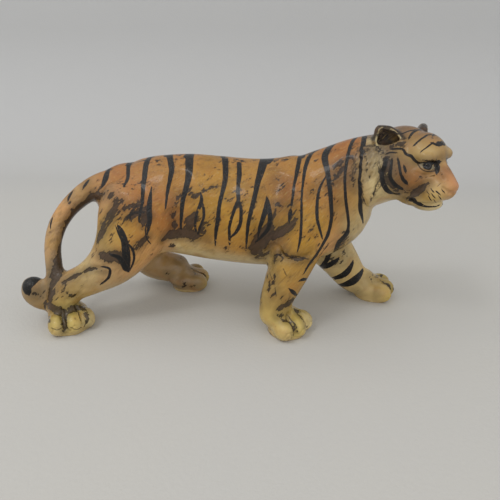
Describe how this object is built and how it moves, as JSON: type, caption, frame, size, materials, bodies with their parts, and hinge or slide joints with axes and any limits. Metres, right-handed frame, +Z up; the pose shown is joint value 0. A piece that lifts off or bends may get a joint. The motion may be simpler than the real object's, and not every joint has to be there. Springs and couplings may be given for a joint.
{
  "type": "tiger figurine",
  "caption": "Glazed pottery figurine of a walking tiger, hand-painted with black stripes, its head turned to its right and its tail curled down against a hind leg.",
  "frame": {"origin": "middle of the footprint box, on the surface that the four paws stand on", "axes": "+X towards the head, +Y to the tiger's left, +Z up"},
  "size_m": [0.1666, 0.061, 0.0804],
  "materials": {
    "painted_glaze": "hand-painted ochre and brown with black brushed stripes under a clear glossy glaze"
  },
  "bodies": {
    "root": {"tiger": "painted_glaze"}
  },
  "joints": []
}
